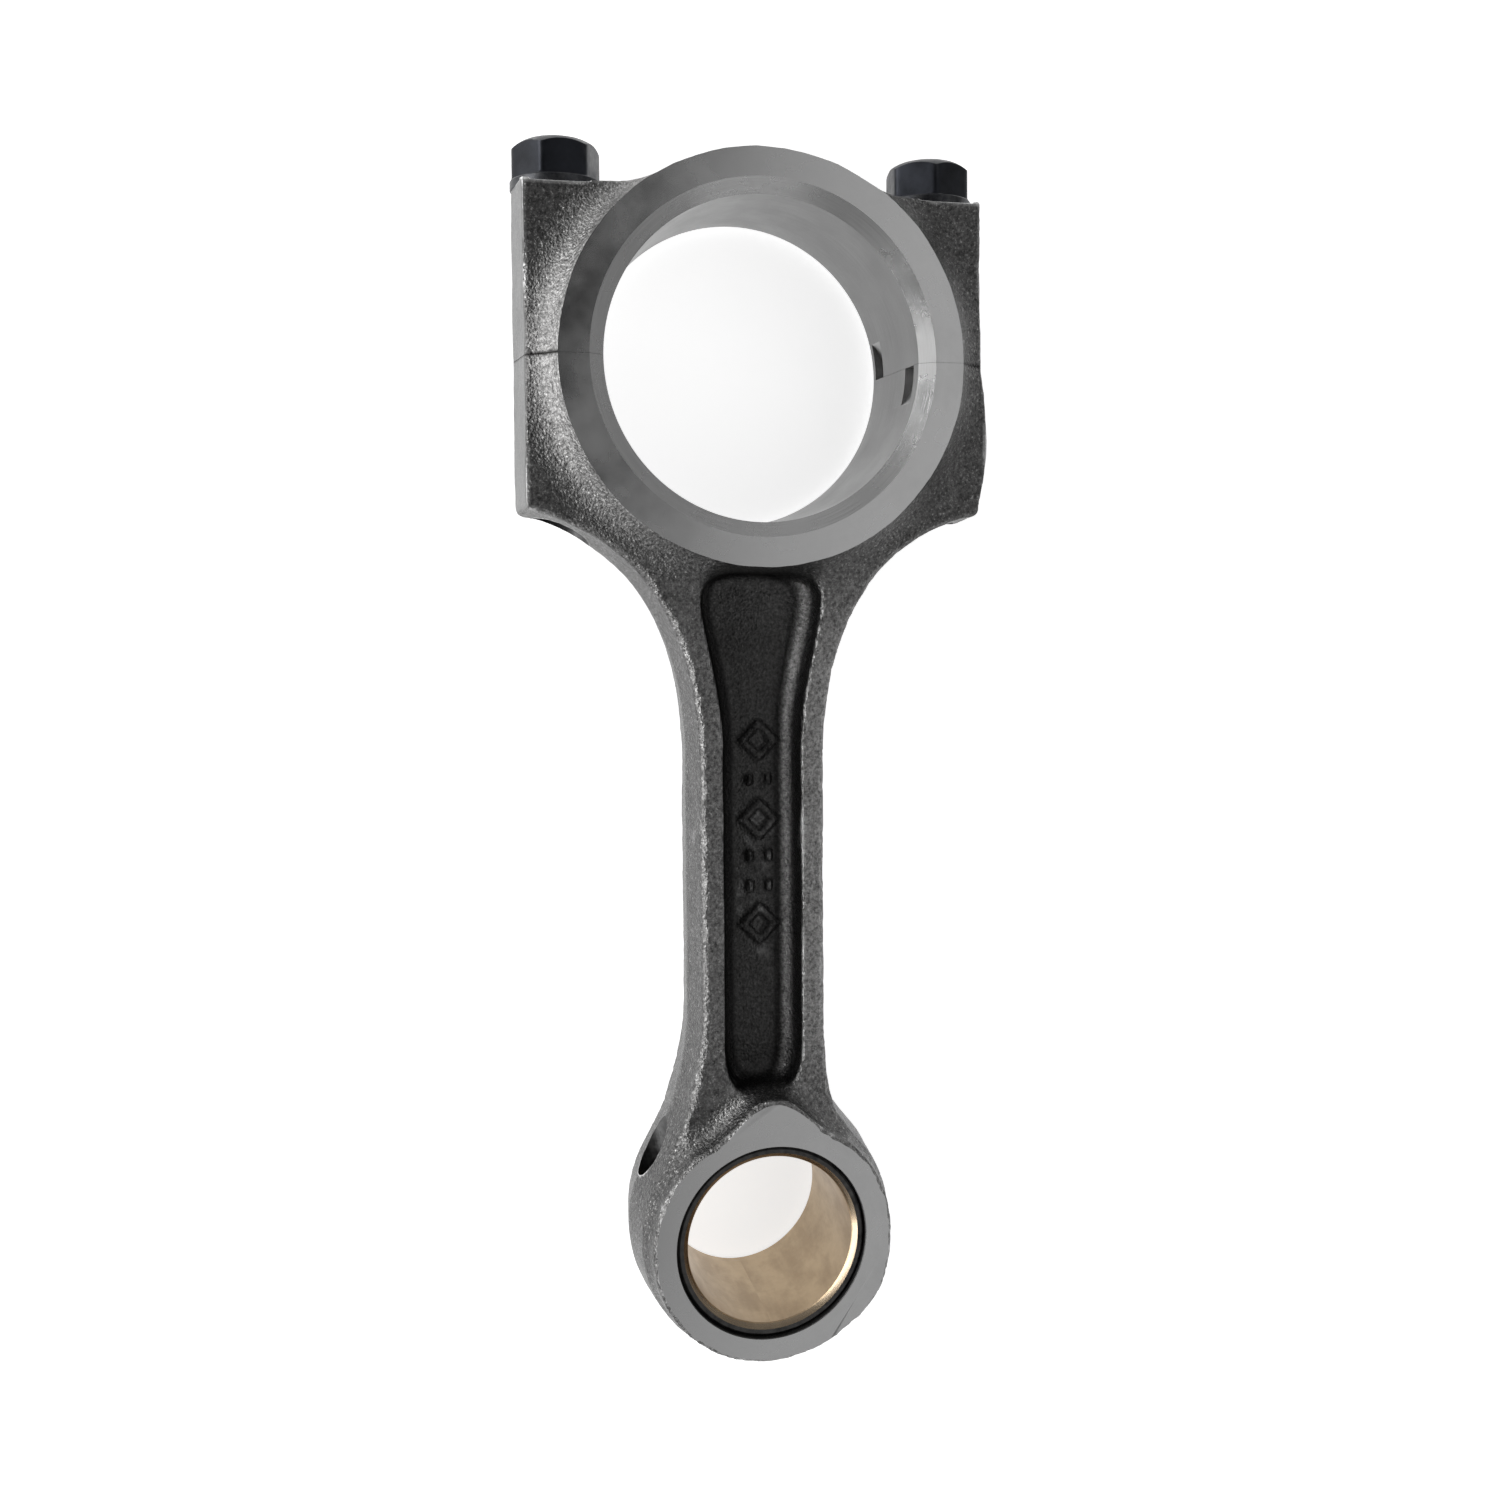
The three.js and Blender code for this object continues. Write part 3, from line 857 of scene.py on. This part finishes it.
class Surface:
    """A material being built: its node tree, its Principled shader and short ways to add nodes."""

    def __init__(self, name, metallic=1.0):
        self.material = bpy.data.materials.new(name)
        self.material.use_nodes = True
        self.tree = self.material.node_tree
        self.shader = self.tree.nodes["Principled BSDF"]
        self.shader.inputs["Metallic"].default_value = metallic
        self.place = self.add("ShaderNodeTexCoord").outputs["Object"]

    def add(self, kind, inputs=None, **settings):
        node = self.tree.nodes.new(kind)
        for key, value in settings.items():
            setattr(node, key, value)
        for key, value in (inputs or {}).items():
            self.feed(node.inputs[key], value)
        return node

    def feed(self, socket, value):
        """Links an output to a socket, or sets a plain number or colour on it."""
        if isinstance(value, bpy.types.NodeSocket):
            self.tree.links.new(value, socket)
        else:
            socket.default_value = value

    def math(self, operation, first, second=0.0, clamp=False):
        node = self.add("ShaderNodeMath", {0: first, 1: second}, operation=operation, use_clamp=clamp)
        return node.outputs[0]

    def noise(self, scale, detail=3.0, rough=0.6, vector=None):
        place = vector or self.place
        inputs = {"Vector": place, "Scale": scale, "Detail": detail, "Roughness": rough}
        return self.add("ShaderNodeTexNoise", inputs).outputs["Fac"]

    def cells(self, scale):
        inputs = {"Vector": self.place, "Scale": scale}
        return self.add("ShaderNodeTexVoronoi", inputs).outputs["Distance"]

    def spread(self, value, low, high, to_low, to_high):
        """A value taken from one range to another and held inside it."""
        limits = {"From Min": low, "From Max": high, "To Min": to_low, "To Max": to_high}
        return self.add("ShaderNodeMapRange", {"Value": value, **limits}).outputs["Result"]

    def blend(self, share, first, second, mode="MIX"):
        node = self.add("ShaderNodeMix", data_type="RGBA", blend_type=mode)
        self.feed(node.inputs["Factor"], share)
        for key, value in ((6, first), (7, second)):
            plain = not isinstance(value, bpy.types.NodeSocket)
            self.feed(node.inputs[key], (*value, 1) if plain else value)
        return node.outputs[2]

    def polar(self, centre):
        """Distance from an upright axis, angle about it and height, each as an output."""
        ends = {0: self.place, 1: tuple(centre)}
        offset = self.add("ShaderNodeVectorMath", ends, operation="SUBTRACT")
        parts = self.add("ShaderNodeSeparateXYZ", {0: offset.outputs[0]}).outputs
        squares = self.math("ADD", self.math("POWER", parts[0], 2.0), self.math("POWER", parts[1], 2.0))
        return self.math("SQRT", squares), self.math("ARCTAN2", parts[1], parts[0]), parts[2]

    def stretched(self, first, first_scale, second, second_scale):
        """Coordinates for a noise, made of two values at their own scales."""
        x = self.math("MULTIPLY", first, first_scale)
        y = self.math("MULTIPLY", second, second_scale)
        return self.add("ShaderNodeCombineXYZ", {0: x, 1: y}).outputs[0]

    def bump(self, height, distance, strength=1.0, under=None):
        inputs = {"Height": height, "Distance": distance, "Strength": strength}
        node = self.add("ShaderNodeBump", inputs)
        if under:
            self.feed(node.inputs["Normal"], under)
        return node.outputs["Normal"]

    def mark(self, name):
        """A number kept on the mesh's vertices."""
        return self.add("ShaderNodeAttribute", attribute_name=name).outputs["Fac"]

    def edges(self, low, high):
        """Where the mesh is sharply convex, from 0 to 1."""
        pointiness = self.add("ShaderNodeNewGeometry").outputs["Pointiness"]
        return self.spread(pointiness, low, high, 0, 1)

    def finish(self, colour, roughness, normal=None):
        self.feed(self.shader.inputs["Base Color"], colour)
        self.feed(self.shader.inputs["Roughness"], roughness)
        if normal:
            self.feed(self.shader.inputs["Normal"], normal)
        return self.material


def grey(level, warmth=0.0):
    return (level * (1 + warmth), level, level * (1 - warmth))


def forged_steel():
    """Forging skin cleaned by shot blasting: grainy dark scale, with painted shade in hollows, in the
    pocket, along its creases and on upright walls, and painted light on worn edges, the flange tops and
    the fillet's left side.
    """
    s = Surface("forged_steel_skin", metallic=0.9)
    patches = s.noise(160, 3)
    grain = s.noise(3400, 3, 0.7)
    pits = s.cells(2900)
    rubbed = s.mark("rubbed")
    mottle = s.noise(2100, 4, 0.7)
    specks = s.spread(s.noise(2700, 2, 0.8), 0.55, 0.68, 0, 0.7)
    scale = s.blend(s.spread(patches, 0.3, 0.7, 0, 1), grey(0.068, 0.01), grey(0.104, 0.01))
    # painted shade: the upright walls are darker than the tops
    walls = s.blend(s.mark("upright"), scale, grey(0.06, 0.01))
    # handling wear with painted light on the flange tops
    handled_and_lit = s.blend(s.mark("handled_and_lit"), walls, grey(0.25, 0.01))
    # painted highlight on the hub fillet's left side, where the side softbox falls
    lit_fillet_highlight = s.blend(s.mark("lit_fillet_highlight"), handled_and_lit, grey(0.19, 0.01))
    bare = s.blend(specks, lit_fillet_highlight, grey(0.3, 0.01))
    mottled = s.blend(1.0, bare, s.spread(mottle, 0.3, 0.7, 0.3, 1.7), "MULTIPLY")
    # painted shade over darker scale on the pocket's floor, lighter on its right slope
    floor = s.blend(s.math("MULTIPLY", s.mark("pocket"), 0.8), mottled, grey(0.018, 0.02))
    # the joint's dark seam, and painted shade over grime in the hollows
    grime_and_shade = s.math("MAXIMUM", s.math("MULTIPLY", s.mark("hollow"), 0.8), s.mark("seam"))
    grimed_and_shaded = s.blend(grime_and_shade, floor, grey(0.015, 0.04))
    # painted shade, over some dark scale, near black along the pocket's creases and walls
    crease_shaded = s.blend(s.math("MULTIPLY", s.mark("crease_scale_and_shade"), 0.85), grimed_and_shaded, grey(0.006))
    # worn bare edges, brightened further as a painted highlight
    worn = s.blend(s.math("MULTIPLY", s.mark("ridge_wear_and_highlight"), 0.9), crease_shaded, grey(0.8))
    sides = s.blend(rubbed, worn, grey(0.145))
    rough = s.spread(s.math("ADD", grain, s.math("MULTIPLY", specks, -0.25)), 0.2, 0.7, 0.26, 0.42)
    even = s.spread(rubbed, 0, 1, 0.6, 0.1)
    coarse = s.bump(pits, 0.00014, even)
    fine = s.bump(grain, 0.00018, even, coarse)
    return s.finish(sides, rough, fine)


def ground_steel():
    """Machined faces: faint concentric marks about the nearer bore, under a soft haze, with painted shade
    making the small end's faces darker.
    """
    s = Surface("ground_steel", metallic=1.0)
    axes = []
    for axis in (0, SMALL_END):
        radius, angle, _ = s.polar(place((axis, 0, 0)))
        axes.append(s.stretched(radius, 1300.0, angle, 3.0))
    middle = place((SMALL_END / 2, 0, 0)).x
    along = s.add("ShaderNodeSeparateXYZ", {0: s.place}).outputs[0]
    nearer = s.math("GREATER_THAN", along, middle)
    chosen = s.add("ShaderNodeMix", {"Factor": nearer}, data_type="VECTOR")
    s.feed(chosen.inputs[4], axes[1])
    s.feed(chosen.inputs[5], axes[0])
    marks = s.noise(1.0, 3, 0.7, chosen.outputs[1])
    haze = s.noise(120, 4, 0.6)
    colour = s.blend(s.spread(haze, 0.3, 0.7, 0, 1), grey(0.40), grey(0.50))
    lined = s.blend(s.spread(marks, 0.35, 0.7, 0, 0.07), colour, grey(0.3))
    # painted shade: the small end's ground faces are drawn darker than the big end's
    small_end_shade = s.spread(along, middle - 0.02, middle + 0.02, 0.86, 1.0)
    lined = s.blend(1.0, lined, small_end_shade, "MULTIPLY")
    rough = s.spread(haze, 0.3, 0.7, 0.2, 0.32)
    return s.finish(lined, rough)


def bored_steel(name, level, rough_low, rough_high):
    """Bored or turned steel: fine rings stacked along the bore's axis."""
    s = Surface(name, metallic=1.0)
    radius, angle, height = s.polar(place((0, 0, 0)))
    rings = s.noise(1.0, 3, 0.65, s.stretched(s.math("ADD", radius, height), 8000.0, angle, 2.0))
    haze = s.noise(140, 4)
    colour = s.blend(s.spread(rings, 0.3, 0.7, 0, 1), grey(level * 0.86), grey(level * 1.1))
    rough = s.spread(haze, 0.3, 0.7, rough_low, rough_high)
    return s.finish(colour, rough, s.bump(rings, 0.00002, 0.5))


def milled_steel():
    """Milled seats and notches, with fine tool marks that lie level."""
    s = Surface("milled_steel", metallic=1.0)
    mapping = s.add("ShaderNodeMapping", {"Vector": s.place, "Scale": (400, 400, 5000)})
    marks = s.noise(1.0, 2, 0.5, mapping.outputs[0])
    colour = s.blend(s.spread(marks, 0.3, 0.7, 0, 1), grey(0.3), grey(0.42))
    return s.finish(colour, s.spread(marks, 0.3, 0.7, 0.3, 0.42), s.bump(marks, 0.00003, 0.5))


def drilled_steel():
    """Rough dark walls of the drilled holes."""
    s = Surface("drilled_steel", metallic=1.0)
    marks = s.noise(1400, 3)
    colour = s.blend(s.spread(marks, 0.3, 0.7, 0, 1), grey(0.05), grey(0.1))
    return s.finish(colour, s.spread(marks, 0.3, 0.7, 0.4, 0.6), s.bump(marks, 0.00008, 0.5))


def bush_backing():
    """Steel back of the bush, drawn near black."""
    s = Surface("bush_backing", metallic=0.85)
    stain = s.noise(900, 3)
    colour = s.blend(s.spread(stain, 0.3, 0.7, 0, 1), grey(0.03), grey(0.09, 0.02))
    return s.finish(colour, s.spread(stain, 0.3, 0.7, 0.4, 0.6), s.bump(stain, 0.00004, 0.4))


def bronze(name, light, dark, rough_low, rough_high):
    """Sintered bronze: fine bore marks, mottling and long faint stains."""
    s = Surface(name, metallic=1.0)
    _, angle, height = s.polar(place((SMALL_END, 0, 0)))
    marks = s.noise(1.0, 3, 0.6, s.stretched(height, 7000.0, angle, 3.0))
    stains = s.noise(1.0, 4, 0.65, s.stretched(height, 110.0, angle, 2.6))
    mottle = s.noise(900, 3)
    base = s.blend(s.spread(stains, 0.42, 0.62, 0, 1), light, dark)
    colour = s.blend(s.spread(mottle, 0.4, 0.75, 0, 0.2), base, tuple(c * 0.7 for c in dark))
    rough = s.spread(s.math("ADD", stains, marks), 0.7, 1.3, rough_low, rough_high)
    return s.finish(colour, rough, s.bump(marks, 0.00002, 0.4))


def black_oxide():
    """Blackened bolt: near black, slightly blue, rubbed brighter on its edges."""
    s = Surface("black_oxide", metallic=0.8)
    wear = s.noise(900, 4, 0.7)
    handling = s.noise(220, 3)
    dark, pale = (0.008, 0.009, 0.012), (0.02, 0.022, 0.028)
    base = s.blend(s.spread(handling, 0.35, 0.65, 0, 1), dark, pale)
    rubbed = s.math("MULTIPLY", s.edges(0.52, 0.6), s.spread(wear, 0.35, 0.6, 0.1, 0.6))
    colour = s.blend(rubbed, base, grey(0.16))
    rough = s.spread(s.math("ADD", wear, handling), 0.7, 1.3, 0.3, 0.48)
    return s.finish(colour, rough, s.bump(wear, 0.00006, 0.4))


# ---------------------------------------------------------------- stage


def plain_sheet(name, points, faces, colour, glow):
    """A pale matt surface of the studio, with a little light of its own."""
    mesh = bpy.data.meshes.new(name)
    mesh.from_pydata(points, [], faces)
    sheet = bpy.data.objects.new(name, mesh)
    bpy.context.scene.collection.objects.link(sheet)
    s = Surface(name + "_paper", metallic=0.0)
    s.shader.inputs["Specular IOR Level"].default_value = 0.0
    s.shader.inputs["Emission Color"].default_value = (1, 1, 1, 1)
    s.shader.inputs["Emission Strength"].default_value = glow
    mesh.materials.append(s.finish((colour, colour, colour, 1), 0.9))
    return sheet


def make_floor():
    half = 3.0
    corners = [(-half, -half, 0), (half, -half, 0), (half, half, 0), (-half, half, 0)]
    plain_sheet("floor", corners, [(0, 1, 2, 3)], 0.9, 0.75)


def make_backdrop():
    """A pale wall all round, seen by the camera only, so that it adds no light."""
    count, radius, height = 48, 2.9, 6.0
    angles = [2 * math.pi * i / count for i in range(count)]
    ring = [(radius * math.cos(angle), radius * math.sin(angle)) for angle in angles]
    points = [(x, y, z) for z in (0, height) for x, y in ring]
    faces = [(i, (i + 1) % count, count + (i + 1) % count, count + i) for i in range(count)]
    wall = plain_sheet("backdrop", points, faces, 0.0, 1.0)
    wall.visible_diffuse = False
    wall.visible_glossy = False
    wall.visible_shadow = False


def make_world():
    """A dim studio, darkest overhead and beyond the rod's right side."""
    world = bpy.data.worlds.new("studio")
    bpy.context.scene.world = world
    world.use_nodes = True
    tree = world.node_tree
    direction = tree.nodes.new("ShaderNodeTexCoord").outputs["Generated"]
    parts = tree.nodes.new("ShaderNodeSeparateXYZ")
    tree.links.new(direction, parts.inputs[0])
    levels = []
    for axis, limits in ((2, (0.0, 0.9, 0.72, 0.03)), (1, (-0.7, -0.1, 0.6, 1.0))):
        fall = tree.nodes.new("ShaderNodeMapRange")
        for socket, value in zip(("From Min", "From Max", "To Min", "To Max"), limits):
            fall.inputs[socket].default_value = value
        tree.links.new(parts.outputs[axis], fall.inputs["Value"])
        levels.append(fall.outputs["Result"])
    product = tree.nodes.new("ShaderNodeMath")
    product.operation = "MULTIPLY"
    for socket, level in zip(product.inputs, levels):
        tree.links.new(level, socket)
    tree.links.new(product.outputs[0], tree.nodes["Background"].inputs["Color"])


def area_light(name, centre, facing, size, radiance, spin=0):
    """A rectangular soft light at a place, hidden from the camera.

    facing points from the lit side through its back, and spin turns it about the upright, in degrees.
    """
    data = bpy.data.lights.new(name, "AREA")
    data.shape = "RECTANGLE"
    data.size, data.size_y = size
    data.energy = radiance * math.pi * size[0] * size[1]
    light = bpy.data.objects.new(name, data)
    light.location = centre
    light.rotation_mode = "QUATERNION"
    turn = Quaternion((0, 0, 1), math.radians(spin))
    light.rotation_quaternion = turn @ Vector(facing).to_track_quat("Z", "Y")
    light.visible_camera = False
    bpy.context.scene.collection.objects.link(light)


def make_lights():
    """A softbox at the rod's left and a flat panel overhead, mostly beyond its right side."""
    area_light("side_softbox", (0.06, 0.577, 0.175), (0, 0.961, 0.276), (1.02, 0.28), 6.0)
    area_light("overhead_panel", (-0.143, -0.435, 0.62), (0, 0, 1), (1.3, 0.7), 0.75, -7.1)


def make_camera():
    """Nearly overhead, a little towards the rod's left side, with the rod upright in the frame."""
    data = bpy.data.cameras.new("camera")
    camera = bpy.data.objects.new("camera", data)
    bpy.context.scene.collection.objects.link(camera)
    data.sensor_width = 36
    data.lens = 35.4
    data.shift_y = -0.0667
    data.clip_start, data.clip_end = 0.01, 20
    back = Vector((0.0548, 0.2372, 0.9699)).normalized()
    along_rod = Vector((0.9985, -0.0166, -0.0523))
    right = along_rod.cross(back).normalized()
    axes = Matrix((right, back.cross(right), back)).transposed()
    from_big_end = Vector((-0.02642, 0.04659, 0.20153 - BIG_END.z))
    roll = Matrix.Rotation(math.radians(-0.17), 3, back)
    location = BIG_END + roll @ from_big_end
    camera.matrix_world = Matrix.Translation(location) @ (roll @ axes).to_4x4()
    bpy.context.scene.camera = camera


# ---------------------------------------------------------------- the build

looks = {
    "forged": forged_steel(),
    "ground": ground_steel(),
    "honed": bored_steel("honed_bore", 0.22, 0.3, 0.42),
    "chamfer": bored_steel("turned_chamfer", 0.5, 0.22, 0.32),
    "milled": milled_steel(),
    "drilled": drilled_steel(),
    "backing": bush_backing(),
    "bronze": bronze("bronze_lining", (0.47, 0.36, 0.235), (0.38, 0.285, 0.185), 0.3, 0.42),
    "bronze_edge": bronze("bronze_edge", (0.36, 0.285, 0.2), (0.3, 0.235, 0.17), 0.22, 0.32),
    "oxide": black_oxide(),
}

raw_points, raw_quads = forging_mesh()
forging = machine_forging(new_piece("forging", raw_points, raw_quads, [looks["forged"]]), looks)
rod_skin, cap_skin = part_forging(forging, looks)
finish_piece(rod_skin, "rod_body")
finish_piece(cap_skin, "bearing_cap")

finish_piece(make_bush(looks), "small_end_bush")
finish_piece(make_bolt("bolt_left", 1, 35, looks), "cap_bolt_left")
finish_piece(make_bolt("bolt_right", -1, 53, looks), "cap_bolt_right")

make_floor()
make_backdrop()
make_world()
make_lights()
make_camera()
bpy.context.scene.view_settings.view_transform = "Standard"
